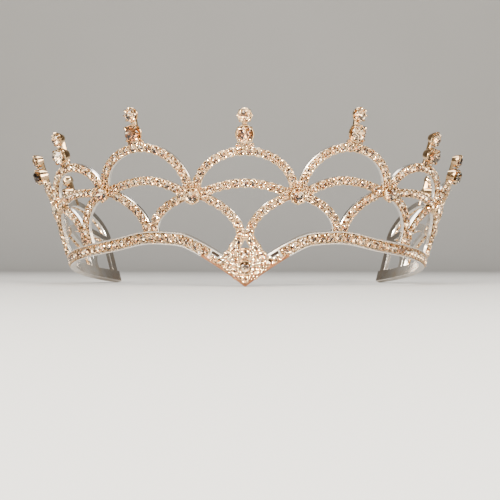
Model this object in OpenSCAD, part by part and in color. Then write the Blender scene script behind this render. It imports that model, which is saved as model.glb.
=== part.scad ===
// Open princess crown: a flared ring of jewelled metal strips with nine
// two-stone finials, stone-set crossings and a pointed front drop.

/* [Ring] */
// Radius of the stone face at the band's lower edge, mm
base_radius = 70; // [60:1:85]
// Outward lean of the wall, degrees
flare = 18.3; // [12:0.1:22]
// Angle of the ring that each arch takes, degrees
arch_angle = 28.1; // [26:0.1:30]
// Distance from one stone of a row to the next along its strip, mm
stone_pitch = 3.2; // [3:0.05:3.6]

/* [Strip] */
// Width of the metal strip that holds a row of stones, mm
strip_w = 3.4; // [3.2:0.05:3.8]
// Depth of the strip, mm
strip_d = 2; // [1.8:0.05:2.6]
// Depth of the channel between the rails, mm
channel_d = 1.2; // [1.1:0.05:1.4]
// Width of the band at the foot of the ring, mm
band_w = 4.7; // [4.2:0.05:5]

/* [Front drop] */
// Depth of the front point below the ring's lower edge, mm
drop_h = 14.2; // [8:0.1:18]
// Angle from the front at which the drop starts, degrees
drop_angle = 18.6; // [15:0.1:20]
// Rise of the band on each side of the drop, mm
swell_h = 1.4; // [0:0.1:3]
// Half width of the diamond plate, mm
diamond_w = 8; // [6.5:0.1:8.5]
// Height of the diamond plate's upper corner over the ring's lower edge, mm
diamond_top = 3.4; // [2.5:0.1:4]

/* [Stones] */
// Radius of a row stone at its widest, mm
row_r = 1.36; // [1.1:0.01:1.4]
// Radius of a lower finial stone, mm
big_r = 2.85; // [2.6:0.05:3]
// Radius of an upper finial stone, mm
small_r = 2.15; // [1.9:0.05:2.3]
// Radius of a stone at a crossing, mm
cross_r = 2.5; // [2.2:0.05:2.8]
// Radius of the stone in the middle of the diamond plate, mm
centre_r = 2.1; // [1.8:0.05:2.3]
// Clear space between a stone and its metal, mm
gap = 0.12; // [0.1:0.01:0.15]
// Thickness of a cup's wall, mm
cup_t = 0.4; // [0.3:0.05:0.5]

/* [Hidden] */

// Heights in mm over the ring's lower edge, one row a finial, from the front to the end.
// Columns: top arch, lower stone, upper stone, middle arch, parting of the lower arches'
// legs, and those legs' foot.
finials = [
    [31.4, 37.0, 43.1, 20.7, 3.0, 1.8],
    [34.4, 39.4, 45.6, 23.1, 6.4, 4.6],
    [32.4, 37.2, 43.2, 22.7, 8.2, 3.4],
    [32.2, 37.0, 43.0, 22.2, 7.4, 3.4],
    [32.2, 37.0, 43.0, 21.4, 6.6, 3.4]];
TOP = 0;
LOWER_STONE = 1;
UPPER_STONE = 2;
MIDDLE = 3;
PARTING = 4;
FOOT = 5;
// Height in mm of each crossing, from the front to the end of the ring
crossings = [17.0, 20.8, 20.9, 17.6, 17.5];
half_count = len(finials) - 1;
end_angle = (half_count + 0.5) * arch_angle;

metal = [0.80, 0.79, 0.77];
crystal = [0.95, 0.90, 0.86];

// How far the upper strips stand out from the lower ones where they meet
top_lift = 0.25;
middle_lift = 0.12;
post_lift = 0.35;
// How far the rims of the cups stand out from the wall
big_top = 1.9;
small_top = 0.9;
cross_top = 1.5;
// How far a stone sits over its cup's rim
seat = 0.06;
// Height of the middle of the stone at the centre of the diamond plate
centre_h = -7.7;
// Angle kept free between a finial's plane and each strip's end beside it
top_free = 1;
leg_free = 1.15;
// Part of a lower arch's run, to each side, that is curved; the rest is a straight leg
curved = 0.92;
// Places along a lower arch where its strip bends
leg_places = [-1, -curved, -0.68, -0.36, 0, 0.36, 0.68, curved, 1];

// The leaning wall: its radius, its points and its outward direction
function surf_r(h) = base_radius + h * tan(flare);
function surf(t, h) = [surf_r(h) * sin(t), -surf_r(h) * cos(t), h];
function outward(t) = [cos(flare) * sin(t), -cos(flare) * cos(t), -sin(flare)];
function unit(v) = v / norm(v);
function mix(a, b, k) = a + (b - a) * k;

// Lower edge of the band at angle t: the front drop and a low swell on each side of it
function near_front(t) = max(0, 1 - abs(t) / drop_angle);
function drop(t) = -drop_h * pow(near_front(t), 1.15);
function swell(t) = swell_h * exp(-pow((abs(t) - 30) / 9, 2)) * min(1, abs(t) / drop_angle);
function band_low(t) = drop(t) + swell(t);
// Middle line of the band, half its width up the wall from its lower edge
function band_mid(t) = band_low(t) + band_w / 2 * (1 + 0.22 * near_front(t));

// Number of the finial beside crossing j, on the side that s points to
function finial_beside(j, s) = min(abs(j + (s < 0 ? -0.5 : 0.5)), half_count);
// Height of the crossing beside finial k, on the side that s points to
function crossing_beside(k, s) = crossings[abs(k + (s < 0 ? -0.5 : 0.5)) - 0.5];

// Curves over s = -1 to 1, each a point's angle and height
function top_curve(k, s) = let(low = crossing_beside(k, s) + 1.5)
    [k * arch_angle + (arch_angle / 2 - top_free) * sin(90 * s),
    mix(low, finials[abs(k)][TOP], pow(max(0, cos(90 * s)), 1.1))];
function middle_curve(k, s) = let(low = crossing_beside(k, s))
    [(k + s / 2) * arch_angle, mix(low, finials[abs(k)][MIDDLE], pow(max(0, 1 - s * s), 1.4))];
function lower_curve(j, s) = let(
        side = finials[finial_beside(j, s)],
        bend = sin(90 * min(1, abs(s) / curved)),
        leg = max(0, abs(s) - curved) / (1 - curved),
        arch = mix(side[PARTING], crossings[abs(j) - 0.5], pow(max(0, 1 - pow(bend, 1.5)), 0.57)))
    [j * arch_angle + (arch_angle / 2 - leg_free) * bend * sign(s), mix(arch, side[FOOT], leg)];

function sampled_top(k, n) = [for (i = [0:n]) top_curve(k, mix(-1, 1, i / n))];
function sampled_middle(k, n, reach = 1) = [for (i = [0:n]) middle_curve(k, mix(-reach, reach, i / n))];
function points_of(list) = [for (c = list) surf(c[0], c[1])];
function norms_of(list) = [for (c = list) outward(c[0])];

// Angles where the band's strip bends, closer together on the drop
band_steps = [0, 5, 10, 14, 17, 20, 25, 31, 38];
band_rest = [for (t = [46:9:end_angle - 4]) t];
band_side = concat(band_steps, band_rest, [end_angle]);
band_t = concat([for (i = [len(band_side) - 1:-1:1]) -band_side[i]], band_side);
band_list = [for (t = band_t) [t, band_mid(t)]];

// Running length along a list of points
function step_to(p, i) = i < len(p) - 1 ? norm(p[i + 1] - p[i]) : 0;
function run(p) = [for (i = 0, s = 0; i < len(p); s = s + step_to(p, i), i = i + 1) s];
// Places a pitch apart along a curve, as angle, height and turn, clear of both ends
function row(list, start, stop) = let(
        p = points_of(list),
        s = run(p),
        free = s[len(s) - 1] - start - stop,
        count = round(free / stone_pitch),
        step = free / count)
    [for (i = [0:count]) let(
            d = start + i * step,
            j = max([for (a = [0:len(s) - 2]) s[a] <= d ? a : 0]),
            f = (d - s[j]) / (s[j + 1] - s[j]),
            c = mix(list[j], list[j + 1], f),
            e = list[j + 1] - list[j])
        [c[0], c[1], atan2(e[1] / cos(flare), e[0] * PI / 180 * surf_r(c[1]))]];

// Section of a strip, across and outward: a bar with a sloping channel along its face
function section(w) = [[-w / 2, -strip_d], [w / 2, -strip_d], [w / 2, 0], [0, -channel_d], [-w / 2, 0]];
// Triangles that close each end of a strip
cap = [[0, 1, 3], [1, 2, 3], [0, 3, 4]];

// Directions from a point of a path to the next one, and to it from the one before
function ahead(p, i) = unit(p[min(i + 1, len(p) - 1)] - p[min(i, len(p) - 2)]);
function behind(p, i) = unit(p[max(i, 1)] - p[max(i - 1, 0)]);

// A channel section carried along a curve on the wall, mitred at each point
module strip(list, w, lift = 0) {
    path = points_of(list);
    norms = norms_of(list);
    n = len(path);
    across = section(w);
    m = len(across);
    points = [for (i = [0:n - 1])
        let(
            along = unit(ahead(path, i) + behind(path, i)),
            side = unit(cross(norms[i], along)),
            out = cross(along, side),
            stretch = 1 / max(0.6, along * ahead(path, i)))
        for (p = across) path[i] + side * p[0] * stretch + out * (p[1] + lift)];
    walls = [for (i = [0:n - 2], j = [0:m - 1])
        let(a = i * m + j, b = i * m + (j + 1) % m)
        each [[a, b + m, b], [a, a + m, b + m]]];
    last = [for (f = cap) [for (v = [2, 1, 0]) f[v] + (n - 1) * m]];
    polyhedron(points, concat(walls, cap, last), convexity = 6);
}

// Puts its children on the wall, their +Z outward and +Y up it
module on_wall(t, h, turn = 0)
    rotate([0, 0, t])
        translate([0, -surf_r(h), h])
            rotate([90 + flare, 0, 0])
                rotate([0, 0, turn])
                    children();

// Cup of a round stone, narrower behind, and the hollow that its stone sits in
module cup(r, top, sides)
    translate([0, 0, -strip_d - 0.3])
        cylinder(r1 = r * 0.8, r2 = r + gap + cup_t, h = top + strip_d + 0.3, $fn = sides);
module pit(r, top, depth, sides)
    translate([0, 0, top - depth - 0.2])
        cylinder(r1 = r * 0.2, r2 = r + gap + 0.1, h = depth + 0.22, $fn = sides);

// Cut stone: table, crown, girdle and pointed back
module cut_stone(r, crown, depth, sides)
    hull() {
        cylinder(r1 = r, r2 = r * 0.56, h = crown, $fn = sides);
        translate([0, 0, -depth])
            cylinder(r1 = 0, r2 = r, h = depth, $fn = sides);
    }

// The finished crown stands on its front point and the two ends of the band
module rest()
    translate([0, rest_y, rest_z])
        rotate([-rest_tilt, 0, 0])
            children();
point_y = -surf_r(-drop_h);
end_y = -surf_r(0) * cos(end_angle);
// How far the drop's mitred corner and the band's end corners reach past its lower edge
corner = 0.13;
rest_tilt = atan((drop_h + corner) / (end_y - point_y));
rest_z = end_y * sin(rest_tilt) - 0.11;
// Shift that brings the middle of the crown's box over the origin
rest_y = 16.04;

// Both cups of finial k, and the stem behind them
module finial_metal(k) {
    t = k * arch_angle;
    f = finials[abs(k)];
    stem = [1.4, 0.5, 1];
    on_wall(t, f[LOWER_STONE])
        cup(big_r, big_top, 10);
    on_wall(t, f[UPPER_STONE])
        cup(small_r, small_top, 8);
    hull() {
        on_wall(t, f[TOP])
            translate([-stem[0] / 2, -1, -strip_d])
                cube(stem);
        on_wall(t, f[UPPER_STONE])
            translate([-stem[0] / 2, 0, -strip_d])
                cube(stem);
    }
}

// Corners of the diamond plate, across and up from the front of the ring's lower edge
diamond = [[0, -drop_h], [diamond_w, -drop_h * 0.32], [2.9, diamond_top], [-2.9, diamond_top],
    [-diamond_w, -drop_h * 0.32]];
// Corners of the gap in it where the two front legs meet
front_gap = [[0, 1.7], [-1.75, -1.2], [1.75, -1.2]];
module diamond_plate()
    on_wall(0, 0)
        translate([0, 0, -strip_d])
            linear_extrude(height = strip_d + 0.1)
                difference() {
                    polygon([for (p = diamond) [p[0], p[1] / cos(flare)]]);
                    polygon([for (p = front_gap) [p[0], p[1] / cos(flare)]]);
                }

// Half of a lower arch and a plain upright at each end of the ring
end_places = [-1, -curved, -0.68, -0.36, -0.12];
module end_post(side) {
    half = half_count + 0.5;
    arch = [for (s = end_places) lower_curve(half, s)];
    strip([for (c = arch) [side * c[0], c[1]]], strip_w);
    strip([for (h = [2, crossings[half_count] + 1.9]) [side * (end_angle - 1.6), h]], strip_w, post_lift);
}

finial_numbers = [-half_count:half_count];
crossing_numbers = [-half_count + 0.5:half_count - 0.5];

module solid_frame() {
    strip(band_list, band_w);
    for (k = finial_numbers) {
        strip(sampled_top(k, 8), strip_w, top_lift);
        strip(sampled_middle(k, 5, 0.97), strip_w, middle_lift);
        finial_metal(k);
    }
    for (j = crossing_numbers) {
        strip([for (s = leg_places) lower_curve(j, s)], strip_w);
        on_wall(j * arch_angle, crossings[abs(j) - 0.5])
            cup(cross_r, cross_top, 10);
    }
    for (side = [-1, 1])
        end_post(side);
    diamond_plate();
}

module frame() color(metal) rest() union() difference() {
    solid_frame();
    for (k = finial_numbers) {
        on_wall(k * arch_angle, finials[abs(k)][LOWER_STONE])
            pit(big_r, big_top, big_depth, 10);
        on_wall(k * arch_angle, finials[abs(k)][UPPER_STONE])
            pit(small_r, small_top, main_depth, 8);
    }
    for (j = crossing_numbers)
        on_wall(j * arch_angle, crossings[abs(j) - 0.5])
            pit(cross_r, cross_top, main_depth, 10);
    on_wall(0, centre_h)
        pit(centre_r, 0.1, main_depth, 10);
}

// Depths of the stones' pointed backs
big_depth = 2.3;
main_depth = 1.4;

module row_stone(lift)
    translate([0, 0, lift + 0.15])
        cut_stone(row_r, 0.6, 0.85, 8);

// Length of each strip, at both ends, that its row of stones leaves free
top_free_run = 4.1;
middle_free_run = 6.7;
module top_arch_stones() color(crystal) rest() union()
    for (k = finial_numbers, c = row(sampled_top(k, 40), top_free_run, top_free_run))
        on_wall(c[0], c[1], c[2])
            row_stone(top_lift);
module middle_arch_stones() color(crystal) rest() union()
    for (k = finial_numbers, c = row(sampled_middle(k, 40), middle_free_run, middle_free_run))
        on_wall(c[0], c[1], c[2])
            row_stone(middle_lift);

// Small stones of the diamond plate. Columns: across, up, radius
diamond_places = [[2.35, 1.4, 1.1], [4.25, -1.05, 1.1], [6.1, -3.55, 1.1],
    [-2.35, 1.4, 1.1], [-4.25, -1.05, 1.1], [-6.1, -3.55, 1.1],
    [0, -3.1, 1.4], [3.6, -5.7, 1.1], [-3.6, -5.7, 1.1],
    [3.3, -9, 1.1], [-3.3, -9, 1.1], [0, -11.7, 1.1]];
module diamond_stones() color(crystal) rest() union()
    for (c = diamond_places)
        on_wall(0, 0)
            translate([c[0], c[1] / cos(flare), 0.36])
                cut_stone(c[2], 0.55, 0.1, 8);

// Main stones, numbered from the left end of the ring to the right
module lower_finial_stone(n) color(crystal) rest() let(k = n - half_count - 1)
    on_wall(k * arch_angle, finials[abs(k)][LOWER_STONE])
        translate([0, 0, big_top + seat])
            cut_stone(big_r, 1.7, big_depth, 10);
module upper_finial_stone(n) color(crystal) rest() let(k = n - half_count - 1)
    on_wall(k * arch_angle, finials[abs(k)][UPPER_STONE])
        translate([0, 0, small_top + seat])
            cut_stone(small_r, 1.2, main_depth, 8);
module crossing_stone(n) color(crystal) rest() let(j = n - half_count - 0.5)
    on_wall(j * arch_angle, crossings[abs(j) - 0.5])
        translate([0, 0, cross_top + seat])
            cut_stone(cross_r, 1.1, main_depth, 10);
module centre_stone() color(crystal) rest()
    on_wall(0, centre_h)
        translate([0, 0, 0.15])
            cut_stone(centre_r, 0.95, main_depth, 10);

frame();
lower_finial_stone(1);  // lower_finial_stone_1
lower_finial_stone(2);  // lower_finial_stone_2
lower_finial_stone(3);  // lower_finial_stone_3
lower_finial_stone(4);  // lower_finial_stone_4
lower_finial_stone(5);  // lower_finial_stone_5
lower_finial_stone(6);  // lower_finial_stone_6
lower_finial_stone(7);  // lower_finial_stone_7
lower_finial_stone(8);  // lower_finial_stone_8
lower_finial_stone(9);  // lower_finial_stone_9
upper_finial_stone(1);  // upper_finial_stone_1
upper_finial_stone(2);  // upper_finial_stone_2
upper_finial_stone(3);  // upper_finial_stone_3
upper_finial_stone(4);  // upper_finial_stone_4
upper_finial_stone(5);  // upper_finial_stone_5
upper_finial_stone(6);  // upper_finial_stone_6
upper_finial_stone(7);  // upper_finial_stone_7
upper_finial_stone(8);  // upper_finial_stone_8
upper_finial_stone(9);  // upper_finial_stone_9
crossing_stone(1);  // crossing_stone_1
crossing_stone(2);  // crossing_stone_2
crossing_stone(3);  // crossing_stone_3
crossing_stone(4);  // crossing_stone_4
crossing_stone(5);  // crossing_stone_5
crossing_stone(6);  // crossing_stone_6
crossing_stone(7);  // crossing_stone_7
crossing_stone(8);  // crossing_stone_8
centre_stone();
diamond_stones();
top_arch_stones();
middle_arch_stones();
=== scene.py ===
"""An open princess crown, dressed round its packed metal and stones.

The wall of the ring leans outward as a cone. Every strip, cup and stone has a place on
it, given by an angle round the ring and a height up it, as the solids have.
"""

import logging
from dataclasses import dataclass, field
from enum import Enum
from math import atan, cos, pi, radians, sin, sqrt, tan

import bpy
import numpy as np
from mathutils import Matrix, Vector


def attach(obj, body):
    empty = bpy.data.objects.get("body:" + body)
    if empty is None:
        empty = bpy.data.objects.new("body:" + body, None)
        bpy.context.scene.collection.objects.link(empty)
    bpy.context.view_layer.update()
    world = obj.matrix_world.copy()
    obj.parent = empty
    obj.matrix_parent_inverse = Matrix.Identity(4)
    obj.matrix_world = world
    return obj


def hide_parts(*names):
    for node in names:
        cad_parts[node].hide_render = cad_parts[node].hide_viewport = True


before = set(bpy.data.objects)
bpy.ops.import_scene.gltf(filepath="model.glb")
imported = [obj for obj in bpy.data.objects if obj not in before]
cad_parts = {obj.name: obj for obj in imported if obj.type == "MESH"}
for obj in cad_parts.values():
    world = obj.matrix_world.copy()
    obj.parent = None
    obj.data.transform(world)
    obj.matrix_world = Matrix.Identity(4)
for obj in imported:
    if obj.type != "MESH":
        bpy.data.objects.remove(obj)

Array = np.ndarray
Draws = np.random.Generator
Material = bpy.types.Material
Pair = tuple[float, float]
Colour = tuple[float, float, float]
Rows = tuple[tuple[float, ...], ...]
LOG = logging.getLogger("crown")
SEED = 11
BODY = "root"
FRAME_NODE = "frame"
METAL_SLOT = "metal"
CRYSTAL_SLOT = "crystal"
BOTH_SIDES = (-1, 1)
SHARP_EDGE = radians(38)
FRONT_SIDE = 4  # the side of a rounded section that faces outward


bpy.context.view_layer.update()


# The wall and its curves


@dataclass(frozen=True)
class Wall:
    """The leaning wall of the ring, resting on its front point and the band's two ends."""

    radius: float = 0.070
    flare: float = radians(18.3)
    arch_angle: float = radians(28.1)
    half_count: int = 4
    drop: float = 0.0142
    corner: float = 0.00013
    rest_back: float = 0.01604
    rest_lift: float = -0.00011
    mitre_limit: float = 0.6

    @property
    def end_angle(self) -> float:
        """Angle from the front to each end of the ring."""
        return (self.half_count + 0.5) * self.arch_angle

    @property
    def end_back(self) -> float:
        """How far behind the ring's middle its two ends are."""
        return -self.radius * cos(self.end_angle)

    @property
    def tilt(self) -> float:
        """Angle by which the ring's plane leans back at rest."""
        front = self.radius - self.drop * tan(self.flare)
        return atan((self.drop + self.corner) / (self.end_back + front))

    def rested(self, points: Array, is_direction: bool = False) -> Array:
        """Turns points, or directions, of the upright ring into the crown's place at rest."""
        c, s = cos(-self.tilt), sin(-self.tilt)
        turned = points @ np.array([[1, 0, 0], [0, c, -s], [0, s, c]]).T
        if is_direction:
            return turned
        lift = self.end_back * sin(self.tilt) + self.rest_lift
        return turned + np.array([0, self.rest_back, lift])

    def point(self, angle: Array, height: Array, out: Array | float = 0.0) -> Array:
        """Gives points on the wall, or this far out from its face, one a row."""
        angle, height = np.broadcast_arrays(np.asarray(angle, float), np.asarray(height, float))
        reach = self.radius + height * tan(self.flare)
        on_face = np.stack([reach * np.sin(angle), -reach * np.cos(angle), height], -1)
        return self.rested(on_face) + self.outward(angle) * np.asarray(out)[..., None]

    def direction(self, angle: Array, level: float, rise: float) -> Array:
        """Gives the direction at each angle that has this level part and this rise."""
        angle = np.asarray(angle, float)
        d = np.stack([level * np.sin(angle), -level * np.cos(angle), np.full_like(angle, rise)], -1)
        return self.rested(d, is_direction=True)

    def outward(self, angle: Array) -> Array:
        """Gives the wall's outward direction at each angle."""
        return self.direction(angle, cos(self.flare), -sin(self.flare))

    def upward(self, angle: Array) -> Array:
        """Gives the direction straight up the wall at each angle."""
        return self.direction(angle, sin(self.flare), cos(self.flare))

    def place(self, angle: float, height: float, out: float = 0.0, turn: float = 0.0,
              across: float = 0.0, up: float = 0.0) -> Array:
        """Gives the matrix that stands a shape on the wall, its +Z outward.

        Args:
            angle: Angle round the ring.
            height: Height over the ring's lower edge.
            out: Distance outward from the wall's face.
            turn: Turn about the outward direction.
            across: Shift to the right on the flat that touches the wall there.
            up: Shift up on that flat.

        Returns:
            A 4 by 4 matrix.
        """
        y, z = self.upward(angle), self.outward(angle)
        x = np.cross(y, z)
        c, s = cos(turn), sin(turn)
        made = np.eye(4)
        made[:3, 0], made[:3, 1], made[:3, 2] = c * x + s * y, c * y - s * x, z
        made[:3, 3] = self.point(angle, height) + z * out + x * across + y * up
        return made

    def swept(self, angle: Array, height: Array, section: Array, lift: float = 0.0,
              face_side: int = -1) -> "Shape":
        """Sweeps a section along a curve on the wall, mitred at each point.

        Args:
            angle: Angles of the curve's points.
            height: Heights of the curve's points.
            section: Points across and outward, anticlockwise.
            lift: Distance outward that the whole strip is shifted.
            face_side: The section's side that gets the second finish, if one does.

        Returns:
            The closed strip.
        """
        path, out = self.point(angle, height), self.outward(angle)
        step = np.diff(path, axis=0)
        step /= np.linalg.norm(step, axis=1, keepdims=True)
        ahead, behind = np.vstack([step, step[-1:]]), np.vstack([step[:1], step])
        along = ahead + behind
        along /= np.linalg.norm(along, axis=1, keepdims=True)
        side = np.cross(out, along)
        side /= np.linalg.norm(side, axis=1, keepdims=True)
        front = np.cross(along, side)
        stretch = 1 / np.maximum(self.mitre_limit, (along * ahead).sum(1))
        rings = (path[:, None] + side[:, None] * (section[None, :, :1] * stretch[:, None, None])
                 + front[:, None] * (section[None, :, 1:] + lift))
        return lofted(rings, face_side)


@dataclass(frozen=True)
class FinialRow:
    """Heights of what stands at one finial's angle."""

    top_arch: float
    lower_stone: float
    upper_stone: float
    middle_arch: float
    parting: float
    foot: float


class Row(Enum):
    """The kinds of jewelled strip."""

    TOP = "top_arch"
    MIDDLE = "middle_arch"
    LOWER = "lower_arch"


@dataclass(frozen=True)
class Pattern:
    """The crown's repeating pattern of arches, from the front to the ends."""

    wall: Wall = Wall()
    finials: tuple[FinialRow, ...] = (
        FinialRow(0.0314, 0.0370, 0.0431, 0.0207, 0.0030, 0.0018),
        FinialRow(0.0344, 0.0394, 0.0456, 0.0231, 0.0064, 0.0046),
        FinialRow(0.0324, 0.0372, 0.0432, 0.0227, 0.0082, 0.0034),
        FinialRow(0.0322, 0.0370, 0.0430, 0.0222, 0.0074, 0.0034),
        FinialRow(0.0322, 0.0370, 0.0430, 0.0214, 0.0066, 0.0034),
    )
    crossings: tuple[float, ...] = (0.0170, 0.0208, 0.0209, 0.0176, 0.0175)
    top_form: float = 1.1
    top_half_gap: float = radians(1)
    top_rise: float = 0.0015
    middle_form: float = 1.4
    lower_form: Pair = (1.5, 0.57)
    lower_half_gap: float = radians(1.15)
    lower_curved: float = 0.92
    band_width: float = 0.0047
    drop_angle: float = radians(18.6)
    drop_form: float = 1.15
    drop_widening: float = 0.22
    drop_easing: float = 0.1
    swell: float = 0.0014
    swell_middle: float = 30
    swell_reach: float = 9

    def finial_numbers(self) -> range:
        """Numbers of the finials, 0 at the front."""
        return range(-self.wall.half_count, self.wall.half_count + 1)

    def crossing_numbers(self) -> list[float]:
        """Numbers of the crossings, each half-way between two finials."""
        return [k + 0.5 for k in range(-self.wall.half_count, self.wall.half_count)]

    def crossing_height(self, j: float) -> float:
        """Height of crossing j."""
        return self.crossings[int(abs(j) - 0.5)]

    def curve(self, row: Row, k: float, s: Array) -> tuple[Array, Array]:
        """Gives the middle line of one arch.

        Args:
            row: The kind of strip.
            k: Number of the finial or crossing it is centred on.
            s: Places along it from -1 to 1.

        Returns:
            Angles and heights.
        """
        s = np.asarray(s, float)
        side = np.where(s < 0, -0.5, 0.5)
        bend, step = np.sin(pi / 2 * s), self.wall.arch_angle
        if row is Row.LOWER:
            near = np.minimum(np.abs(k + side), self.wall.half_count).astype(int)
            parting = np.array([f.parting for f in self.finials])[near]
            foot = np.array([f.foot for f in self.finials])[near]
            curved, (power, root) = self.lower_curved, self.lower_form
            bend = np.sin(pi / 2 * np.minimum(1, np.abs(s) / curved))
            rise = np.maximum(0, 1 - bend**power) ** root
            arch = parting + (self.crossing_height(k) - parting) * rise
            leg = np.maximum(0, np.abs(s) - curved) / (1 - curved)
            angle = k * step + (step / 2 - self.lower_half_gap) * bend * np.sign(s)
            return angle, arch + (foot - arch) * leg
        low = np.array(self.crossings)[(np.abs(k + side) - 0.5).astype(int)]
        if row is Row.TOP:
            low, high = low + self.top_rise, self.finials[abs(int(k))].top_arch
            rise = np.maximum(0, np.cos(pi / 2 * s)) ** self.top_form
            return k * step + (step / 2 - self.top_half_gap) * bend, low + (high - low) * rise
        high = self.finials[abs(int(k))].middle_arch
        return (k + s / 2) * step, low + (high - low) * np.maximum(0, 1 - s * s) ** self.middle_form

    def near_front(self, angle: Array) -> Array:
        """Gives 1 at the front point, easing to 0 where the drop starts."""
        line, easing = 1 - np.abs(angle) / self.drop_angle, self.drop_easing
        return (line + np.sqrt(line**2 + easing**2)) / (1 + sqrt(1 + easing**2))

    def band_foot(self, angle: Array) -> Array:
        """Height of the band's lower edge at each angle."""
        near = self.near_front(angle)
        hump = np.exp(-(((np.abs(np.degrees(angle)) - self.swell_middle) / self.swell_reach) ** 2))
        hump *= np.minimum(1, np.abs(angle) / self.drop_angle)
        return -self.wall.drop * near**self.drop_form + self.swell * hump

    def band_middle(self, angle: Array) -> Array:
        """Height of the band's middle line at each angle."""
        wider = 1 + self.drop_widening * self.near_front(angle)
        return self.band_foot(angle) + self.band_width / 2 * wider

    def spaced(self, angle: Array, height: Array, pitch: float, start: float,
               stop: float) -> list[tuple[float, float, float]]:
        """Spreads places along a curve, a pitch apart.

        Args:
            angle: Angles of the curve's points.
            height: Heights of the curve's points.
            pitch: Wanted distance between places.
            start: Length left free before the first.
            stop: Length left free after the last.

        Returns:
            Angle, height and turn of each place.
        """
        points = self.wall.point(angle, height)
        run = np.concatenate([[0], np.cumsum(np.linalg.norm(np.diff(points, axis=0), axis=1))])
        count = max(1, int((run[-1] - start - stop) / pitch + 0.5))
        where = np.linspace(start, run[-1] - stop, count + 1)
        a, h = np.interp(where, run, angle), np.interp(where, run, height)
        reach = self.wall.radius + h * tan(self.wall.flare)
        step = 1e-4
        ahead_a = np.interp(where + step, run, angle) - np.interp(where - step, run, angle)
        ahead_h = np.interp(where + step, run, height) - np.interp(where - step, run, height)
        turn = np.arctan2(ahead_h / cos(self.wall.flare), ahead_a * reach)
        return list(zip(a.tolist(), h.tolist(), turn.tolist(), strict=True))


# Shapes


@dataclass
class Shape:
    """Points, faces and the number of each face's finish."""

    points: Array
    faces: list[tuple[int, ...]]
    finish: list[int]


def ring(radius: float, height: float, count: int, phase: float = 0.0) -> Array:
    """Gives evenly spaced points on a circle about Z, one a row."""
    turn = phase + 2 * pi * np.arange(count) / count
    return np.stack([radius * np.cos(turn), radius * np.sin(turn), np.full(count, height)], 1)


def tube_faces(count: int, sides: int) -> list[tuple[int, ...]]:
    """Gives the faces between rings of points, then the first end's and the last end's."""
    faces: list[tuple[int, ...]] = []
    for first in range(0, (count - 1) * sides, sides):
        for j in range(sides):
            here, after = first + j, first + (j + 1) % sides
            faces.append((here, after, after + sides, here + sides))
    last = (count - 1) * sides
    return [*faces, tuple(range(sides - 1, -1, -1)), tuple(range(last, last + sides))]


def revolved(profile: Rows, sides: int) -> Shape:
    """Turns radii and heights, from the back to the front, about Z, both ends closed."""
    faces = tube_faces(len(profile), sides)
    return Shape(np.vstack([ring(r, z, sides) for r, z in profile]), faces, [0] * len(faces))


def lofted(rings: Array, face_side: int = -1) -> Shape:
    """Joins rings of points, both ends closed, one side in the second finish if it is named."""
    count, sides = rings.shape[:2]
    finish = [int(j == face_side) for _ in range(count - 1) for j in range(sides)]
    return Shape(rings.reshape(-1, 3), tube_faces(count, sides), [*finish, 0, 0])


def joined(shapes: list[Shape]) -> Shape:
    """Puts several shapes into one."""
    points, faces, finish, first = [], [], [], 0
    for shape in shapes:
        points.append(shape.points)
        faces += [tuple(v + first for v in f) for f in shape.faces]
        finish += shape.finish
        first += len(shape.points)
    return Shape(np.vstack(points), faces, finish)


def moved(shape: Shape, matrix: Array) -> Shape:
    """Gives a copy of a shape, moved by a 4 by 4 matrix."""
    return Shape(shape.points @ matrix[:3, :3].T + matrix[:3, 3], shape.faces, shape.finish)


@dataclass(frozen=True)
class CutStone:
    """A round cut stone: table, stars, kites, girdle and a foiled pointed back.

    Its first finish is the crystal of the front. The others are the foils of its back, silver, peach
    and a near-black brown that paints dark facets in as shade: the inner facets have a dark side and a
    bright one, and the outer ones take theirs by a seeded draw, a painted stand-in for the light
    breaking up in a cut stone.
    """

    radius: float
    crown: float
    depth: float
    table: float = 0.56
    star: float = 0.80
    heart: float = 0.38
    girdle: float = 0.00006
    # Foil of each inner facet: 1 silver, 2 peach, 3 the near-black painted shade.
    hearts: tuple[int, ...] = (3, 3, 3, 2, 1, 1, 2, 1)
    # Shares of silver, peach and the near-black painted shade among the outer facets.
    edge_shares: tuple[float, ...] = (0.36, 0.36, 0.28)

    def shape(self, draw: Draws) -> Shape:
        """Builds the stone, its girdle's lower edge at height 0."""
        mains = len(self.hearts)
        edges, half = 2 * mains, pi / mains
        r, top = self.radius, self.crown
        table_r, star_r, heart_r = r * self.table, r * self.star, r * self.heart
        fall = (star_r * cos(half) - table_r) / (r - table_r)
        star_h = top - fall * (top - self.girdle)
        heart_h = -self.depth * (1 - heart_r * cos(half) / r)
        points = np.vstack([
            ring(table_r, top, mains), ring(star_r, star_h, mains, half), ring(r, self.girdle, edges),
            ring(r, 0, edges), ring(heart_r, heart_h, mains, half), [[0, 0, -self.depth]]])
        star, upper, lower, heart, tip = (n * mains for n in (1, 2, 4, 6, 7))
        corners = [(2 * i, 2 * i + 1, (2 * i + 2) % edges) for i in range(mains)]
        faces: list[tuple[int, ...]] = [tuple(range(mains))]
        for i, (a, b, c) in enumerate(corners):
            faces += [
                (i, star + i, (i + 1) % mains), (i, star + (i - 1) % mains, upper + a, star + i),
                (star + i, upper + a, upper + b), (star + i, upper + b, upper + c),
                (upper + a, lower + a, lower + b, upper + b),
                (upper + b, lower + b, lower + c, upper + c)]
        front = len(faces)
        for i, (a, _, _) in enumerate(corners):
            faces.append((tip, heart + i, lower + a, heart + (i - 1) % mains))
        for i, (a, b, c) in enumerate(corners):
            faces += [(heart + i, lower + b, lower + a), (heart + i, lower + c, lower + b)]
        outer = draw.choice(len(self.edge_shares), edges, p=self.edge_shares) + 1
        return Shape(points, faces, [0] * front + list(self.hearts) + outer.tolist())


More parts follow.
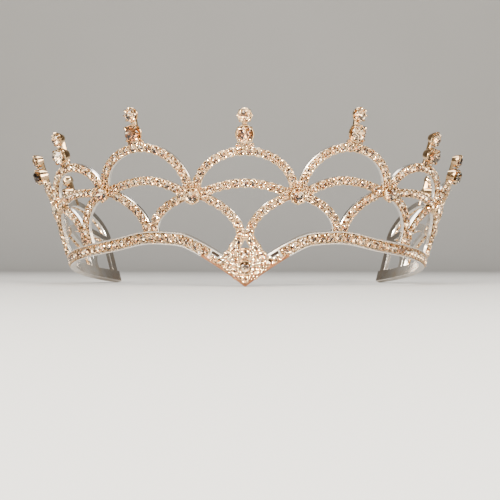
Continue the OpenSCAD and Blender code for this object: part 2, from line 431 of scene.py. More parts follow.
@dataclass(frozen=True)
class Cup:
    """A round cup with claws that hold one stone, its rim at the girdle or below it."""

    stone: float
    wall: float
    back: float
    claws: int
    claw_width: float
    claw_reach: float
    claw_top: float
    rim: float = 0.0
    foot: float = 0.8
    sides: int = 16
    claw_phase: float = pi / 4
    claw_sides: int = 6
    claw_depth: float = 0.36

    def claw(self, angle: float) -> Shape:
        """Builds one claw, bent over the stone's edge."""
        outer, wall, top = self.stone + self.wall, self.wall, self.claw_top
        # Distance from the axis, height and share of the width, from the root to the tip.
        path = [
            (outer - wall * 0.5, self.rim - top * 1.3, 0.9),
            (outer + wall * 0.1, -top * 0.2, 1.0),
            (outer, top * 0.5, 1.0),
            (outer - self.claw_reach * 0.5, top * 0.95, 0.9),
            (outer - self.claw_reach, top * 0.95, 0.6)]
        turn = 2 * pi * np.arange(self.claw_sides) / self.claw_sides
        rings = []
        for n, (r, z, grow) in enumerate(path):
            a, b = path[max(n - 1, 0)], path[min(n + 1, len(path) - 1)]
            along = np.array([b[0] - a[0], b[1] - a[1]])
            along = along / np.linalg.norm(along)
            normal = np.array([along[1], -along[0]])
            across = np.sin(turn) * self.claw_width / 2 * grow
            deep = np.cos(turn) * self.claw_width * self.claw_depth * grow
            rings.append(np.stack([r + normal[0] * deep, across, z + normal[1] * deep], 1))
        shape = lofted(np.array(rings)[:, ::-1])
        c, s = cos(angle), sin(angle)
        turned = shape.points @ np.array([[c, s, 0], [-s, c, 0], [0, 0, 1]])
        return Shape(turned, shape.faces, shape.finish)

    def shape(self) -> Shape:
        """Builds the cup, its stone's girdle at height 0."""
        inner, outer = self.stone + self.wall * 0.2, self.stone + self.wall
        foot = self.stone * self.foot
        # The profile runs up the outside, over the rim and down the inside.
        body = revolved((
            (foot, self.back), (foot + (outer - foot) * 0.8, self.back * 0.5),
            (outer, self.rim - self.wall * 0.5), (outer - self.wall * 0.25, self.rim),
            (inner, self.rim), (inner * 0.97, self.rim - self.wall),
            (inner * 0.5, self.back * 0.62), (inner * 0.1, self.back * 0.8)), self.sides)
        claws = [self.claw(self.claw_phase + 2 * pi * n / self.claws) for n in range(self.claws)]
        return joined([body, *claws])


@dataclass(frozen=True)
class SetStone:
    """A stone and its cup, with the draw that turns and tilts each one a little."""

    stone: CutStone
    cup: Cup
    draw: Draws
    lean: float = radians(2.5)

    def turned(self, place: Array) -> Array:
        """Turns a stone about its own axis, and leans it a little, in its place."""
        spin = self.draw.uniform(0, 2 * pi)
        ax, ay = self.draw.normal(0, self.lean, 2).clip(-2 * self.lean, 2 * self.lean)
        c, s = cos(spin), sin(spin)
        leaned = np.array([[1, 0, ay], [0, 1, -ax], [-ay, ax, 1]])
        leaned /= np.linalg.norm(leaned, axis=0)
        made = place.copy()
        made[:3, :3] = place[:3, :3] @ leaned @ np.array([[c, -s, 0], [s, c, 0], [0, 0, 1]])
        return made

    def put(self, cups: "Piece", stones: "Piece", places: list[Array]) -> None:
        """Sets a stone in a cup at each place, and adds them to these pieces."""
        for place in places:
            cups.add(moved(self.cup.shape(), place))
            stones.add(moved(self.stone.shape(self.draw), self.turned(place)))


def mirrored(right: Rows) -> Array:
    """Completes a section from its right side, given from the back to the front."""
    side = np.array(right)
    return np.roll(np.vstack([side, side[::-1] * [-1, 1]]), 1, axis=0)


def rounded_section(width: float, back: float, front: float, soft: float) -> Array:
    """Gives a strip's section with softened edges.

    Args:
        width: Its width.
        back: Outward distance of its back.
        front: Outward distance of its front.
        soft: How far each corner is cut back.

    Returns:
        Points across and outward, anticlockwise.
    """
    half = width / 2
    return mirrored((
        (half - soft, back), (half, back + soft), (half, front - soft), (half - soft, front)))


# Pieces


def linked(name: str, data: bpy.types.ID) -> bpy.types.Object:
    """Makes an object of some data, and puts it in the scene."""
    made = bpy.data.objects.new(name, data)
    bpy.context.scene.collection.objects.link(made)
    return made


@dataclass
class Piece:
    """One named mesh of the crown, gathered before Blender makes it."""

    name: str
    slot: str
    finishes: list[Material]
    stands_for: tuple[str, ...] = ()
    flat: bool = False
    shapes: list[Shape] = field(default_factory=list)

    def add(self, shape: Shape) -> None:
        """Adds a shape that is already in place."""
        self.shapes.append(shape)

    def build(self) -> None:
        """Makes the mesh object, and says what it rides on and stands for."""
        whole = joined(self.shapes)
        mesh = bpy.data.meshes.new(self.name)
        mesh.from_pydata(whole.points.tolist(), [], whole.faces)
        for finish in self.finishes:
            mesh.materials.append(finish)
        mesh.polygons.foreach_set("material_index", whole.finish)
        mesh.polygons.foreach_set("use_smooth", [not self.flat] * len(whole.faces))
        mesh.update()
        if not self.flat:
            mesh.set_sharp_from_angle(angle=SHARP_EDGE)
        made = linked(self.name, mesh)
        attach(made, BODY)
        if self.stands_for:
            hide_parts(*self.stands_for)
        LOG.info("%s: %d faces, for %s", self.name, len(whole.faces), self.stands_for or "nothing")


# Finishes


def tune(node: bpy.types.Node, values: dict[str, float | tuple]) -> None:
    """Sets a node's inputs by their names."""
    for name, value in values.items():
        node.inputs[name].default_value = value


def connect(tree: bpy.types.NodeTree, *wires: tuple) -> None:
    """Joins nodes, each wire given as a node, its output, the next node and its input."""
    for start, out, end, into in wires:
        tree.links.new(start.outputs[out], end.inputs[into])


def plating_group() -> bpy.types.NodeTree:
    """Makes the group that varies plated metal: colour, roughness and a fine bump height."""
    group = bpy.data.node_groups.new("plating", "ShaderNodeTree")
    for name, kind, default in (
        ("Bright", "Color", (0.8, 0.8, 0.8, 1)), ("Warm", "Color", (0.7, 0.6, 0.5, 1)),
        ("Patch size", "Float", 300.0), ("Smooth", "Float", 0.12), ("Dull", "Float", 0.3),
    ):
        socket = group.interface.new_socket(name=name, in_out="INPUT", socket_type=f"NodeSocket{kind}")
        socket.default_value = default
    for name, kind in (("Color", "Color"), ("Roughness", "Float"), ("Height", "Float")):
        group.interface.new_socket(name=name, in_out="OUTPUT", socket_type=f"NodeSocket{kind}")
    nodes = group.nodes
    entry, leave = nodes.new("NodeGroupInput"), nodes.new("NodeGroupOutput")
    where = nodes.new("ShaderNodeTexCoord")
    patch, grain = nodes.new("ShaderNodeTexNoise"), nodes.new("ShaderNodeTexNoise")
    tune(patch, {"Detail": 4})
    tune(grain, {"Scale": 2600})
    mix = nodes.new("ShaderNodeMix")
    mix.data_type = "RGBA"
    spread, rough = nodes.new("ShaderNodeMapRange"), nodes.new("ShaderNodeMapRange")
    tune(spread, {"From Min": 0.35, "From Max": 0.72})
    connect(
        group, (where, "Object", patch, "Vector"), (where, "Object", grain, "Vector"),
        (entry, "Patch size", patch, "Scale"), (patch, "Fac", spread, "Value"),
        (spread, "Result", mix, "Factor"), (entry, "Bright", mix, "A"), (entry, "Warm", mix, "B"),
        (patch, "Fac", rough, "Value"), (entry, "Smooth", rough, "To Min"),
        (entry, "Dull", rough, "To Max"), (mix, "Result", leave, "Color"),
        (rough, "Result", leave, "Roughness"), (grain, "Fac", leave, "Height"))
    return group


def new_material(name: str) -> tuple[Material, bpy.types.Node]:
    """Makes a material, and gives it with its surface shader."""
    made = bpy.data.materials.new(name)
    made.use_nodes = True
    return made, made.node_tree.nodes["Principled BSDF"]


def mottle(material: Material, scale: float, first: Colour, second: Colour) -> None:
    """Varies a material's colour softly between two colours, in patches of a fineness."""
    nodes = material.node_tree.nodes
    where, cloud = nodes.new("ShaderNodeTexCoord"), nodes.new("ShaderNodeTexNoise")
    tune(cloud, {"Scale": scale})
    mix = nodes.new("ShaderNodeMix")
    mix.data_type = "RGBA"
    tune(mix, {"A": (*first, 1), "B": (*second, 1)})
    connect(material.node_tree, (where, "Object", cloud, "Vector"), (cloud, "Fac", mix, "Factor"),
            (mix, "Result", nodes["Principled BSDF"], "Base Color"))


@dataclass(frozen=True)
class PlatedMetal:
    """Bright plated metal, a little warm in random patches: a painted reflection of the warm stones.
    """

    name: str
    bright: Colour
    warm: Colour
    smooth: float
    dull: float
    bump: float
    patch: float = 300.0
    grain_height: float = 0.00003

    def material(self, group: bpy.types.NodeTree) -> Material:
        """Makes the material, with the shared plating group."""
        made, shader = new_material(self.name)
        nodes = made.node_tree.nodes
        tune(shader, {"Metallic": 1})
        plating = nodes.new("ShaderNodeGroup")
        plating.node_tree = group
        tune(plating, {"Bright": (*self.bright, 1), "Warm": (*self.warm, 1), "Patch size": self.patch,
                       "Smooth": self.smooth, "Dull": self.dull})
        bump = nodes.new("ShaderNodeBump")
        tune(bump, {"Strength": self.bump, "Distance": self.grain_height})
        connect(made.node_tree, (plating, "Color", shader, "Base Color"),
                (plating, "Roughness", shader, "Roughness"), (plating, "Height", bump, "Height"),
                (bump, "Normal", shader, "Normal"))
        return made


@dataclass(frozen=True)
class CutCrystal:
    """Clear cut crystal, its tint stronger in places."""

    name: str
    pale: Colour
    deep: Colour
    patch: float
    ior: float

    def material(self) -> Material:
        """Makes the material."""
        made, shader = new_material(self.name)
        tune(shader, {"Roughness": 0, "IOR": self.ior, "Transmission Weight": 1})
        mottle(made, self.patch, self.pale, self.deep)
        return made


CRYSTAL = CutCrystal("cut_crystal", (1, 0.95, 0.87), (1.0, 0.79, 0.47), 170, 1.6)
FOILS = (
    PlatedMetal("foil_silver", (1.0, 0.97, 0.92), (1.0, 0.90, 0.78), 0.02, 0.05, 0, 500),
    PlatedMetal("foil_peach", (1.0, 0.76, 0.53), (0.94, 0.63, 0.38), 0.02, 0.06, 0, 500),
    # Near-black brown: painted shade for the stones' dark facets.
    PlatedMetal("foil_painted_dark", (0.10, 0.045, 0.02), (0.26, 0.13, 0.065), 0.02, 0.08, 0, 500),
)


class Metal(Enum):
    """The crown's metals."""

    SILVER = PlatedMetal("silver_plate", (0.82, 0.80, 0.77), (0.74, 0.64, 0.53), 0.12, 0.30, 0.25)
    SETTING = PlatedMetal("setting_metal", (0.84, 0.61, 0.36), (0.52, 0.32, 0.16), 0.08, 0.20, 0.2)
    # Near-black: painted shadow, laid on the floor of the band's slots where they are deep.
    RECESS = PlatedMetal("painted_slot_shadow", (0.035, 0.025, 0.02), (0.02, 0.014, 0.01), 0.35, 0.6, 0.3)
    # Dark rose brown: painted shade and warm reflection on the drop's lower edge.
    ROSE = PlatedMetal("lower_edge_shade_metal", (0.40, 0.18, 0.09), (0.24, 0.10, 0.05), 0.14, 0.3, 0.2)
    # Dark brown: painted shade on the strips' front faces, seen in the gaps between the cups.
    SHADE = PlatedMetal("shaded_metal", (0.30, 0.18, 0.11), (0.18, 0.11, 0.06), 0.25, 0.5, 0.2)


@dataclass(frozen=True)
class Finishes:
    """Every finish of the crown: its metals, and the crystal and the foils of its stones."""

    metals: dict[Metal, Material]
    stone: list[Material]

    @classmethod
    def made(cls) -> "Finishes":
        """Makes them all, with the plating group that they share."""
        group = plating_group()
        foils = [foil.material(group) for foil in FOILS]
        metals = {metal: metal.value.material(group) for metal in Metal}
        return cls(metals, [CRYSTAL.material(), *foils])


# The crown's sub-assemblies


@dataclass(frozen=True)
class RowSizes:
    """Sizes of a row of small stones and the strip behind it."""

    stone: float = 0.00136
    crown: float = 0.0006
    depth: float = 0.00085
    pitch: float = 0.0032
    seat: float = 0.00015
    cup_wall: float = 0.00034
    cup_back: float = -0.0012
    claws: int = 4
    claw_width: float = 0.00062
    claw_reach: float = 0.00066
    claw_top: float = 0.00034
    strip_width: float = 0.0030
    strip_depth: float = 0.002
    strip_face: float = -0.00075
    strip_soft: float = 0.00018

    def section(self, front: float) -> Array:
        """Gives the strip's section, its front this far outward."""
        return rounded_section(self.strip_width, -self.strip_depth, front, self.strip_soft)

    def set_stone(self, draw: Draws, size: float = 0.0) -> SetStone:
        """Gives the row's stone in its cup, or one of the kind in another size."""
        r = size or self.stone
        k = r / self.stone
        cup = Cup(r, self.cup_wall * k, self.cup_back, self.claws, self.claw_width * k,
                  self.claw_reach * k, self.claw_top * k)
        return SetStone(CutStone(r, self.crown * k, self.depth), cup, draw)


@dataclass
class Assembly:
    """A sub-assembly of the crown, made of pieces of metal and of stones."""

    pattern: Pattern
    finishes: Finishes
    draw: Draws

    def metal(self, name: str, *metals: Metal) -> Piece:
        """Gives an empty piece for the frame, in the setting metal if no other is named."""
        finishes = [self.finishes.metals[metal] for metal in metals or (Metal.SETTING,)]
        return Piece(name, METAL_SLOT, finishes, (FRAME_NODE,))

    def crystal(self, name: str, *nodes: str) -> Piece:
        """Gives an empty piece of flat-faced stones, which stands for these nodes."""
        return Piece(name, CRYSTAL_SLOT, self.finishes.stone, nodes, flat=True)

    def small_stones(self, near: Rows, cups: Piece, stones: Piece, spot: Pair) -> None:
        """Adds small stones in cups, each given by its shift right and up, its radius and its lift."""
        for across, up, radius, out in near:
            place = self.pattern.wall.place(*spot, out, across=across, up=up)
            RowSizes().set_stone(self.draw, radius).put(cups, stones, [place])

    def pieces(self) -> tuple[Piece, ...]:
        """Gives the filled pieces, in the order in which they are built."""
        raise NotImplementedError

    def build(self) -> None:
        """Builds every piece."""
        for piece in self.pieces():
            piece.build()


@dataclass(kw_only=True)
class Arches(Assembly):
    """One kind of arch all round the crown: strips, cups and stones."""

    row: Row
    lift: float
    free_end: float
    nodes: tuple[str, ...] = ()
    sizes: RowSizes = RowSizes()
    over_band: float = 0.0011
    lowest: float = 0.0040
    middle_reach: float = 0.97

    def centres(self) -> list[float]:
        """Numbers of the finials or crossings that its arches are centred on."""
        if self.row is Row.LOWER:
            return self.pattern.crossing_numbers()
        return list(self.pattern.finial_numbers())

    def along(self, angle: Array, height: Array, stop: float) -> list[Array]:
        """Spreads places along a curve, and leaves this length free after the last."""
        spots = self.pattern.spaced(angle, height, self.sizes.pitch, self.free_end, stop)
        out = self.lift + self.sizes.seat
        return [self.pattern.wall.place(a, h, out, turn) for a, h, turn in spots]

    def places(self, k: float) -> list[Array]:
        """Gives the places of one arch's stones."""
        if self.row is not Row.LOWER:
            full = self.pattern.curve(self.row, k, np.linspace(-1, 1, 81))
            return self.along(*full, self.free_end)
        made = []
        for side in BOTH_SIDES:
            a, h = self.pattern.curve(self.row, k, side * np.linspace(0, 1, 161))
            top = self.pattern.band_middle(a) + self.pattern.band_width / 2 + self.over_band
            keep = h > np.maximum(top, self.lowest)
            made += self.along(a[keep], h[keep], 0)
        return made

    def pieces(self) -> tuple[Piece, ...]:
        """Gives the strips, the cups and the stones."""
        wall, name = self.pattern.wall, self.row.value
        reach = self.middle_reach if self.row is Row.MIDDLE else 1
        s = np.linspace(-reach, reach, 73)
        # The strips' front faces take the shaded metal: painted shade between the cups.
        strips = self.metal(f"{name}_strips", Metal.SILVER, Metal.SHADE)
        cups = self.metal(f"{name}_cups")
        stones = self.crystal(f"{name}_cut_stones", *self.nodes)
        section = self.sizes.section(self.sizes.strip_face)
        kind = self.sizes.set_stone(self.draw)
        for k in self.centres():
            angle, height = self.pattern.curve(self.row, k, s)
            strips.add(wall.swept(angle, height, section, self.lift, FRONT_SIDE))
            kind.put(cups, stones, self.places(k))
        return strips, cups, stones


@dataclass
class Band(Assembly):
    """The band at the foot of the ring, with its front drop and end uprights.

    A strip laid in it is given by its width, its height over the rails and its softening.
    """

    sizes: RowSizes = RowSizes()
    rail: float = 0.0005
    floor: float = -0.0009
    proud: float = 0.00035
    soft: float = 0.00012
    fine_to: float = 1.6
    coarse_from: float = 0.56
    stone: float = 0.00148
    pitch: float = 0.0035
    first: float = radians(7.0)
    free_end: float = 0.002
    slot: Pair = (radians(7.3), radians(10.0))
    slot_up: float = 0.0014
    slot_rim: tuple[float, ...] = (0.0017, 0.0001, 0.00006)
    # Sizes of the near-black strip of painted shadow in each slot, then the angle it leaves free at
    # its ends.
    slot_shadow_size: tuple[float, ...] = (0.0011, 0.00014, 0.00006)
    slot_shadow_inset: float = 0.006
    beside_slot: float = 0.00118
    beside_down: float = 0.55
    # The strip of painted shade and reflection on the drop's lower edge: its sizes, reach and lift.
    rose: tuple[float, ...] = (0.0009, 0.00005, 0.0001)
    edge_shade_to: float = radians(13)
    edge_shade_up: float = 0.0004
    upright_foot: float = 0.002
    upright_over: float = 0.0019
    upright_lift: float = 0.00035
    upright_in: float = radians(1.6)
    last_leg: Pair = (-1, -0.12)

    def section(self) -> Array:
        """Gives the band's section: a channel between two rails."""
        half, soft, back = self.pattern.band_width / 2, self.soft, -self.sizes.strip_depth
        inner, proud = half - self.rail, self.proud
        return mirrored((
            (half - soft, back), (half, back + soft), (half, proud - soft), (half - soft, proud),
            (inner + soft, proud), (inner, proud - soft), (inner, self.floor)))

    def channel(self) -> Piece:
        """Gives the band itself, its points closer together in the drop."""
        fine = np.linspace(0, self.pattern.drop_angle * self.fine_to, 40)
        coarse = np.linspace(self.coarse_from, self.pattern.wall.end_angle, 60)
        half = np.concatenate([fine, coarse])
        angle = np.concatenate([-half[:0:-1], half])
        piece = self.metal("band_channel", Metal.SILVER)
        piece.add(self.pattern.wall.swept(angle, self.pattern.band_middle(angle), self.section()))
        return piece

    def rows(self) -> tuple[Piece, Piece]:
        """Gives the cups and the stones, which are smaller and lower beside the slots."""
        pattern, wall, seat = self.pattern, self.pattern.wall, self.sizes.seat
        cups, stones = self.metal("band_cups"), self.crystal("band_cut_stones")
        usual = self.sizes.set_stone(self.draw, self.stone)
        less = self.sizes.set_stone(self.draw, self.beside_slot)
        for side in BOTH_SIDES:
            run = side * np.linspace(self.first, wall.end_angle, 200)
            spots = pattern.spaced(run, pattern.band_middle(run), self.pitch, 0, self.free_end)
            for a, h, turn in spots:
                beside = self.slot[0] < abs(a) < self.slot[1]
                kind, down = (less, self.slot_up * self.beside_down) if beside else (usual, 0)
                kind.put(cups, stones, [wall.place(a, h - down, seat, turn)])
        return cups, stones

    def raised(self, width: float, over: float, soft: float) -> Array:
        """Gives the section of a strip that stands up from the channel's floor."""
        return rounded_section(width, self.floor, self.proud + over, soft)

    def in_slots(self, name: str, metal: Metal, sizes: tuple[float, ...], ends: float) -> Piece:
        """Gives one part of both slots, which leaves an angle free at its ends."""
        piece, (start, stop) = self.metal(name, metal), self.slot
        for side in BOTH_SIDES:
            bare = side * np.linspace(start + ends, stop - ends, 8)[::side]
            height = self.pattern.band_middle(bare) + self.slot_up
            piece.add(self.pattern.wall.swept(bare, height, self.raised(*sizes)))
        return piece

    def lower_edge_shade(self) -> Piece:
        """Gives the dark rose-brown strip along the drop's lower edge: painted shade and warm
        reflection on the band's edge.
        """
        near = np.linspace(-self.edge_shade_to, self.edge_shade_to, 41)
        piece = self.metal("band_lower_edge_shade", Metal.ROSE)
        height = self.pattern.band_foot(near) + self.edge_shade_up
        piece.add(self.pattern.wall.swept(near, height, self.raised(*self.rose)))
        return piece

    def uprights(self) -> Piece:
        """Gives the end uprights, each with the half arch that leans on it."""
        pattern, wall, section = self.pattern, self.pattern.wall, self.sizes.section(0)
        piece = self.metal("end_uprights", Metal.SILVER)
        height = np.linspace(self.upright_foot, pattern.crossings[-1] + self.upright_over, 8)
        a, h = pattern.curve(Row.LOWER, wall.half_count + 0.5, np.linspace(*self.last_leg, 40))
        for side in BOTH_SIDES:
            angle = np.full(8, side * (wall.end_angle - self.upright_in))
            piece.add(wall.swept(angle, height, section, self.upright_lift))
            piece.add(wall.swept((side * a)[::side], h[::side], section))
        return piece

    def pieces(self) -> tuple[Piece, ...]:
        """Gives the band, its cups and stones, its two slots and the end uprights. Each slot is a
        silver rim round a near-black strip of painted shadow.
        """
        rims = self.in_slots("band_slot_rims", Metal.SILVER, self.slot_rim, 0)
        # Each slot's floor is a near-black strip of painted shadow.
        dark_slot_strips = self.in_slots("band_slot_shadow_strips", Metal.RECESS, self.slot_shadow_size, self.slot_shadow_inset)
        return self.channel(), *self.rows(), rims, dark_slot_strips, self.lower_edge_shade(), self.uprights()


@dataclass(frozen=True)
class MainStone:
    """Sizes of one kind of main stone and of its cup."""

    radius: float
    crown: float
    depth: float
    top: float
    claws: int
    claw_width: float = 0.0009
    claw_reach: float = 0.0010
    claw_top: float = 0.0006
    wall: float = 0.0005
    rim: float = 0.0
    phase: float = pi / 4
    sunk: float = 0.0022
    foot: float = 0.62
    sides: int = 32

    def set_stone(self, draw: Draws) -> SetStone:
        """Gives the stone in its cup."""
        cup = Cup(self.radius, self.wall, -self.top - self.sunk, self.claws, self.claw_width,
                  self.claw_reach, self.claw_top, self.rim, self.foot, self.sides, self.phase)
        return SetStone(CutStone(self.radius, self.crown, self.depth), cup, draw)


@dataclass
class Settings(Assembly):
    """The main stones in their cups, at finials and crossings, and the small ones near them."""

    lower: MainStone = MainStone(0.00285, 0.0017, 0.0023, 0.0019, 4, rim=-0.0010)
    upper: MainStone = MainStone(
        0.00215, 0.0012, 0.0014, 0.0009, 8, 0.00062, 0.0007, 0.0005, rim=-0.0005)
    crossing: MainStone = MainStone(
        0.0025, 0.0011, 0.0014, 0.0015, 8, 0.0006, 0.0008, 0.00045, 0.00055, phase=0)
    stone_lift: float = 0.00006
    stem_section: tuple[float, ...] = (0.0018, -0.002, -0.0004, 0.0003)
    stem_down: float = 0.0008
    at_foot: Rows = (
        (-0.0022, 0.0018, 0.0009, 0.0004), (0, 0.0023, 0.0009, 0.0004),
        (0.0022, 0.0018, 0.0009, 0.0004))
    around: Rows = (
        (-0.00455, -0.0001, 0.0012, 0.0005), (0.00455, -0.0001, 0.0012, 0.0005),
        (0, 0.0041, 0.0009, 0.0007),
        (-0.00235, 0.00335, 0.00078, 0.0006), (0.00235, 0.00335, 0.00078, 0.0006),
        (-0.0035, 0.00195, 0.00072, 0.0006), (0.0035, 0.00195, 0.00072, 0.0006))

    def main_stone(self, kind: MainStone, group: str, n: int, cups: Piece, spot: Pair) -> None:
        """Builds one main stone in place of its node, and adds its cup."""
        piece = self.crystal(f"{group}_cut_stone_{n}", f"{group}_stone_{n}")
        place = self.pattern.wall.place(*spot, kind.top + self.stone_lift)
        kind.set_stone(self.draw).put(cups, piece, [place])
        piece.build()

    def finials(self) -> tuple[Piece, Piece, Piece]:
        """Builds the finials' main stones, and gives their cups, stems and small stones."""
        wall, section = self.pattern.wall, rounded_section(*self.stem_section)
        cups, stems = self.metal("finial_cups"), self.metal("finial_stems")
        feet = self.crystal("finial_foot_stones")
        for n, k in enumerate(self.pattern.finial_numbers(), 1):
            row, angle = self.pattern.finials[abs(k)], k * wall.arch_angle
            self.main_stone(self.lower, "lower_finial", n, cups, (angle, row.lower_stone))
            self.main_stone(self.upper, "upper_finial", n, cups, (angle, row.upper_stone))
            height = np.linspace(row.top_arch - self.stem_down, row.upper_stone, 6)
            stems.add(wall.swept(np.full(6, angle), height, section))
            self.small_stones(self.at_foot, cups, feet, (angle, row.top_arch))
        return cups, stems, feet

    def crossings(self) -> tuple[Piece, Piece]:
        """Builds the crossings' main stones, and gives their cups and small stones."""
        cups, small = self.metal("crossing_cups"), self.crystal("crossing_small_stones")
        for n, j in enumerate(self.pattern.crossing_numbers(), 1):
            spot = j * self.pattern.wall.arch_angle, self.pattern.crossing_height(j)
            self.main_stone(self.crossing, "crossing", n, cups, spot)
            self.small_stones(self.around, cups, small, spot)
        return cups, small

    def pieces(self) -> tuple[Piece, ...]:
        """Builds the main stones, and gives the cups, the stems and the small stones."""
        return *self.finials(), *self.crossings()


@dataclass
class DiamondPlate(Assembly):
    """The jewelled diamond in the front drop.

    Each of its stones is given by its shift right, its height and its radius. The small ones
    of `pairs` are set again on the left.
    """

    half_width: float = 0.008
    elbow: float = 0.32
    top: float = 0.0034
    shoulder: float = 0.0029
    thick: float = 0.002
    face: float = -0.0007
    gap: Rows = ((0, 0.0017), (-0.00175, -0.0012), (0.00175, -0.0012))
    bar: Rows = ((0.0003, -0.0013), (0.00055, -0.0011), (0.00055, 0.0011), (0.0003, 0.0013))
    bar_sides: int = 10
    bar_up: float = 0.0026
    bar_out: float = 0.0003
    bar_turn: float = radians(8)
    centre_height: float = -0.0077
    centre: MainStone = MainStone(0.0021, 0.00095, 0.0008, 0.00015, 6, 0.0007, 0.0006, 0.0004, 0.0006)
    stone_out: float = 0.00036
    stones: Rows = (
        (0.00235, 0.0014, 0.00128), (0.00425, -0.00105, 0.00128), (0.0061, -0.00355, 0.00128),
        (-0.00235, 0.0014, 0.00128), (-0.00425, -0.00105, 0.00128), (-0.0061, -0.00355, 0.00128),
        (0.0, -0.0031, 0.0015), (0.0036, -0.0057, 0.00125), (-0.0036, -0.0057, 0.00125),
        (0.0033, -0.0090, 0.0012), (-0.0033, -0.0090, 0.0012), (0.0, -0.0117, 0.0012))
    pairs: Rows = (
        (0.0023, -0.0032, 0.0007), (0.0044, -0.0036, 0.0006), (0.0019, -0.0110, 0.0006),
        (0.00575, -0.00675, 0.00105), (0.0068, -0.0079, 0.0008), (0.0052, -0.0088, 0.0008),
        (0.0036, -0.0110, 0.0007), (0.00245, -0.00075, 0.0005), (0.0022, -0.0020, 0.0006))

    def plate(self) -> Shape:
        """Builds the plate, with its 3-sided hole under the legs' meeting."""
        drop, lean = self.pattern.wall.drop, cos(self.pattern.wall.flare)
        elbow = -drop * self.elbow
        outline = ((0, -drop), (self.half_width, elbow), (self.shoulder, self.top),
                   (-self.shoulder, self.top), (-self.half_width, elbow))
        flat = np.array([(x, y / lean) for x, y in (*outline, *self.gap)])
        rim, hole, both = len(outline), len(self.gap), len(flat)
        layers = [np.column_stack([flat, np.full(both, z)]) for z in (-self.thick, self.face)]
        # On each face, points 0 to 4 go round the outline and 5 to 7 round the hole.
        fan = [(0, 1, 7, 6), (1, 2, 7), (2, 3, 5, 7), (3, 4, 6, 5), (4, 0, 6)]
        faces = [tuple(v + both for v in f) for f in fan] + [f[::-1] for f in fan]
        faces += [(i, (i + 1) % rim, (i + 1) % rim + both, i + both) for i in range(rim)]
        for i in range(hole):
            here, after = rim + i, rim + (i + 1) % hole
            faces.append((after, here, here + both, after + both))
        return Shape(np.vstack(layers), faces, [0] * len(faces))

    def pieces(self) -> tuple[Piece, ...]:
        """Gives the plate with the bar over it, the small cups and the stones."""
        wall, lean = self.pattern.wall, cos(self.pattern.wall.flare)
        plate, cups = self.metal("diamond_plate"), self.metal("diamond_cups")
        plate.add(moved(self.plate(), wall.place(0, 0)))
        bar = revolved(self.bar, self.bar_sides)
        laid = Shape(bar.points[:, [2, 1, 0]] * [1, 1, -1], bar.faces, bar.finish)
        over = wall.place(0, 0, self.bar_out, self.bar_turn, up=self.bar_up / lean)
        plate.add(moved(laid, over))
        small = self.crystal("diamond_cut_stones", "diamond_stones")
        more = self.crystal("diamond_small_stones")
        extra = [(side * x, y, r) for x, y, r in self.pairs for side in (1, -1)]
        for piece, stones in ((small, self.stones), (more, extra)):
            near = tuple((x, y / lean, r, self.stone_out) for x, y, r in stones)
            self.small_stones(near, cups, piece, (0, 0))
        big = self.crystal("centre_cut_stone", "centre_stone")
        middle = wall.place(0, self.centre_height, self.centre.top)
        self.centre.set_stone(self.draw).put(cups, big, [middle])
        return plate, cups, small, more, big


# Stage, light and camera


@dataclass(frozen=True)
class SoftLight:
    """A plain studio light, aimed at the crown."""

    name: str
    place: tuple[float, float, float]
    size: float
    watts: float
    colour: Colour = (1, 1, 1)

    def build(self, aim: tuple[float, float, float]) -> None:
        """Makes the light."""
        data = bpy.data.lights.new(self.name, "AREA")
        data.shape, data.size, data.energy, data.color = "SQUARE", self.size, self.watts, self.colour
        made = linked(self.name, data)
        made.location = self.place
        made.rotation_euler = (Vector(aim) - Vector(self.place)).to_track_quat("-Z", "Y").to_euler()


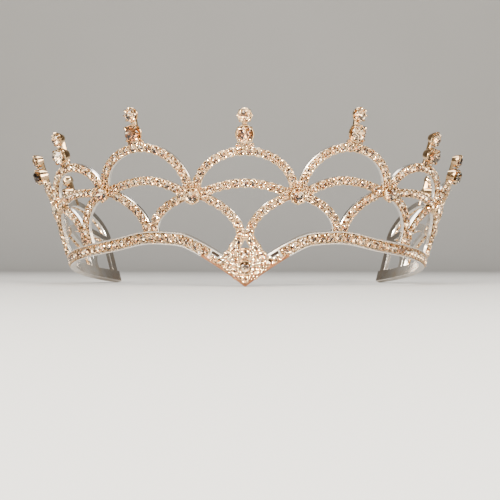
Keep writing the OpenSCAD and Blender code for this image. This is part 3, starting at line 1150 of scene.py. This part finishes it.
@dataclass(frozen=True)
class Studio:
    """A pale floor that rises to a wall behind, soft light, and the camera."""

    aim: tuple[float, float, float] = (0, 0, 0.03)
    lens: float = 98.1
    eye: tuple[float, float, float] = (0.0064, -0.5316, 0.008)
    look_up: float = radians(0.59)
    look_left: float = radians(0.56)
    world: Colour = (0.82, 0.72, 0.62)
    world_strength: float = 0.20
    greys: tuple[Colour, Colour] = ((0.27, 0.27, 0.27), (0.29, 0.29, 0.29))
    lights: tuple[SoftLight, ...] = (
        SoftLight("key", (-0.5, -0.7, 0.7), 0.5, 23, (1, 0.93, 0.82)),
        SoftLight("fill", (0.8, -0.5, 0.4), 0.5, 12, (1, 0.91, 0.80)),
        SoftLight("top", (0, 0.1, 1.0), 0.8, 14),
        SoftLight("low_front", (-0.15, -1.2, 0.10), 0.3, 7, (1, 0.90, 0.78)),
        SoftLight("spark_left", (-0.35, -0.9, 0.25), 0.12, 30, (1, 0.93, 0.80)),
        SoftLight("spark_right", (0.35, -0.85, 0.35), 0.12, 30, (1, 0.95, 0.85)),
    )

    def build(self) -> None:
        """Makes the floor, the lights, the world and the camera."""
        self.floor()
        for light in self.lights:
            light.build(self.aim)
        world = bpy.data.worlds.new("studio")
        world.use_nodes = True
        background = world.node_tree.nodes["Background"]
        tune(background, {"Color": (*self.world, 1), "Strength": self.world_strength})
        bpy.context.scene.world = world
        data = bpy.data.cameras.new("camera")
        data.lens, data.sensor_width, data.clip_start = self.lens, 36, 0.01
        camera = linked("camera", data)
        camera.location = self.eye
        camera.rotation_euler = (pi / 2 + self.look_up, 0, self.look_left)
        bpy.context.scene.camera = camera

    def floor(self) -> None:
        """Makes the floor, curved up into a wall behind the crown."""
        front, back, bend, high, half = -1.6, 1.0, 0.5, 1.6, 2.4
        turn = np.linspace(0, pi / 2, 17)
        rise = [(back + bend * sin(t), bend * (1 - cos(t))) for t in turn]
        profile = [(front, 0.0), *rise, (back + bend, high)]
        points = [(x, y, z) for y, z in profile for x in (-half, half)]
        faces = [(2 * i, 2 * i + 1, 2 * i + 3, 2 * i + 2) for i in range(len(profile) - 1)]
        mesh = bpy.data.meshes.new("floor")
        mesh.from_pydata(points, [], faces)
        mesh.polygons.foreach_set("use_smooth", [True] * len(faces))
        made, shader = new_material("pale_floor")
        tune(shader, {"Roughness": 0.75})
        mottle(made, 6, *self.greys)
        mesh.materials.append(made)
        floor = linked("floor", mesh)


def main() -> None:
    """Builds the crown, then its studio."""
    logging.basicConfig(level=logging.INFO, format="%(name)s: %(message)s")
    shared = Pattern(), Finishes.made(), np.random.default_rng(SEED)
    middle, top = ("middle_arch_stones",), ("top_arch_stones",)
    for part in (
        Band(*shared),
        Arches(*shared, row=Row.LOWER, lift=0.0, free_end=0.0068),
        Arches(*shared, row=Row.MIDDLE, lift=0.00012, free_end=0.0067, nodes=middle),
        Arches(*shared, row=Row.TOP, lift=0.00025, free_end=0.0041, nodes=top),
        Settings(*shared),
        DiamondPlate(*shared),
    ):
        part.build()
    Studio().build()


if __name__ == "__main__":
    main()
